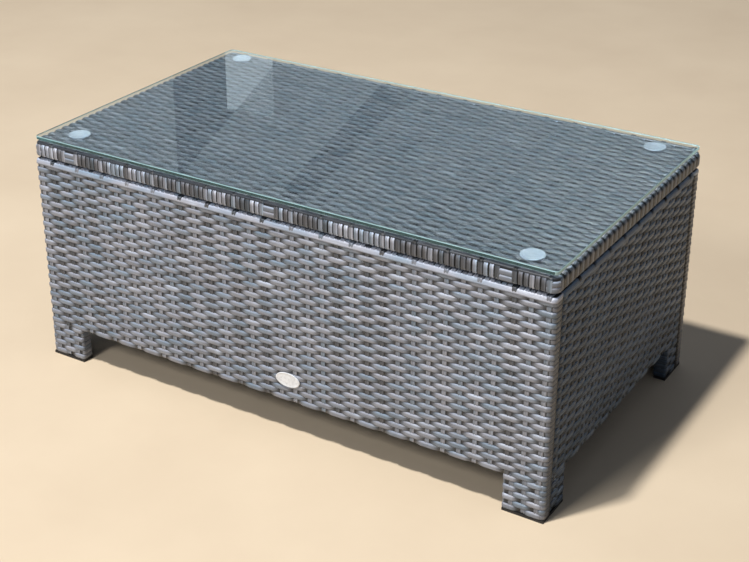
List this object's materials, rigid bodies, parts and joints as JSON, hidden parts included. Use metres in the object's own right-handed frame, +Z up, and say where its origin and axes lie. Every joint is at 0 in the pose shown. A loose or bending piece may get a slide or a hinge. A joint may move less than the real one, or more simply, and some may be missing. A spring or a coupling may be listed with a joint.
{
  "type": "wicker coffee table",
  "caption": "Low rectangular woven wicker garden coffee table with four corner legs and a loose clear glass top on suction pads.",
  "frame": {"origin": "on the floor under the centre of the table", "axes": "+X along the long side to the right seen from the front, +Y from the front to the back, +Z up; the front with the badge faces -Y"},
  "size_m": [0.8, 0.46, 0.3425],
  "materials": {
    "wicker": "woven half-round plastic rattan, mixed grey and brown-grey, fine lengthwise ribs, semi-matte",
    "coated_steel": "dark powder coat, fine texture",
    "zinc_steel": "zinc plated, satin",
    "glide_plastic": "black moulded plastic",
    "badge_plastic": "blank white, slightly worn",
    "clear_glass": "clear tempered glass with green edges",
    "pad_vinyl": "clear soft vinyl with a blue tint"
  },
  "bodies": {
    "table": {"back_frame": "coated_steel", "back_glide_1": "glide_plastic", "back_glide_2": "glide_plastic", "back_top_bolt_1": "zinc_steel", "back_top_bolt_2": "zinc_steel", "back_top_washer_1": "zinc_steel", "back_top_washer_2": "zinc_steel", "back_wicker": "wicker", "back_wicker_edge": "wicker", "back_wicker_hem": "wicker", "badge": "badge_plastic", "front_frame": "coated_steel", "front_glide_1": "glide_plastic", "front_glide_2": "glide_plastic", "front_top_bolt_1": "zinc_steel", "front_top_bolt_2": "zinc_steel", "front_top_washer_1": "zinc_steel", "front_top_washer_2": "zinc_steel", "front_wicker": "wicker", "front_wicker_edge": "wicker", "front_wicker_hem": "wicker", "left_corner_bolt_1": "zinc_steel", "left_corner_bolt_2": "zinc_steel", "left_corner_bolt_3": "zinc_steel", "left_corner_bolt_4": "zinc_steel", "left_corner_washer_1": "zinc_steel", "left_corner_washer_2": "zinc_steel", "left_corner_washer_3": "zinc_steel", "left_corner_washer_4": "zinc_steel", "left_frame": "coated_steel", "left_glide_1": "glide_plastic", "left_glide_2": "glide_plastic", "left_wicker": "wicker", "left_wicker_edge": "wicker", "left_wicker_hem": "wicker", "right_corner_bolt_1": "zinc_steel", "right_corner_bolt_2": "zinc_steel", "right_corner_bolt_3": "zinc_steel", "right_corner_bolt_4": "zinc_steel", "right_corner_washer_1": "zinc_steel", "right_corner_washer_2": "zinc_steel", "right_corner_washer_3": "zinc_steel", "right_corner_washer_4": "zinc_steel", "right_frame": "coated_steel", "right_glide_1": "glide_plastic", "right_glide_2": "glide_plastic", "right_wicker": "wicker", "right_wicker_edge": "wicker", "right_wicker_hem": "wicker", "top_frame": "coated_steel", "top_wicker": "wicker"},
    "glass_top": {"back_left_pad": "pad_vinyl", "back_right_pad": "pad_vinyl", "front_left_pad": "pad_vinyl", "front_right_pad": "pad_vinyl", "glass_pane": "clear_glass"}
  },
  "joints": [
    {"name": "glass_lift", "type": "slide", "parent": "table", "child": "glass_top", "axis": [0, 0, 1], "range_m": [0, 0.06]}
  ]
}
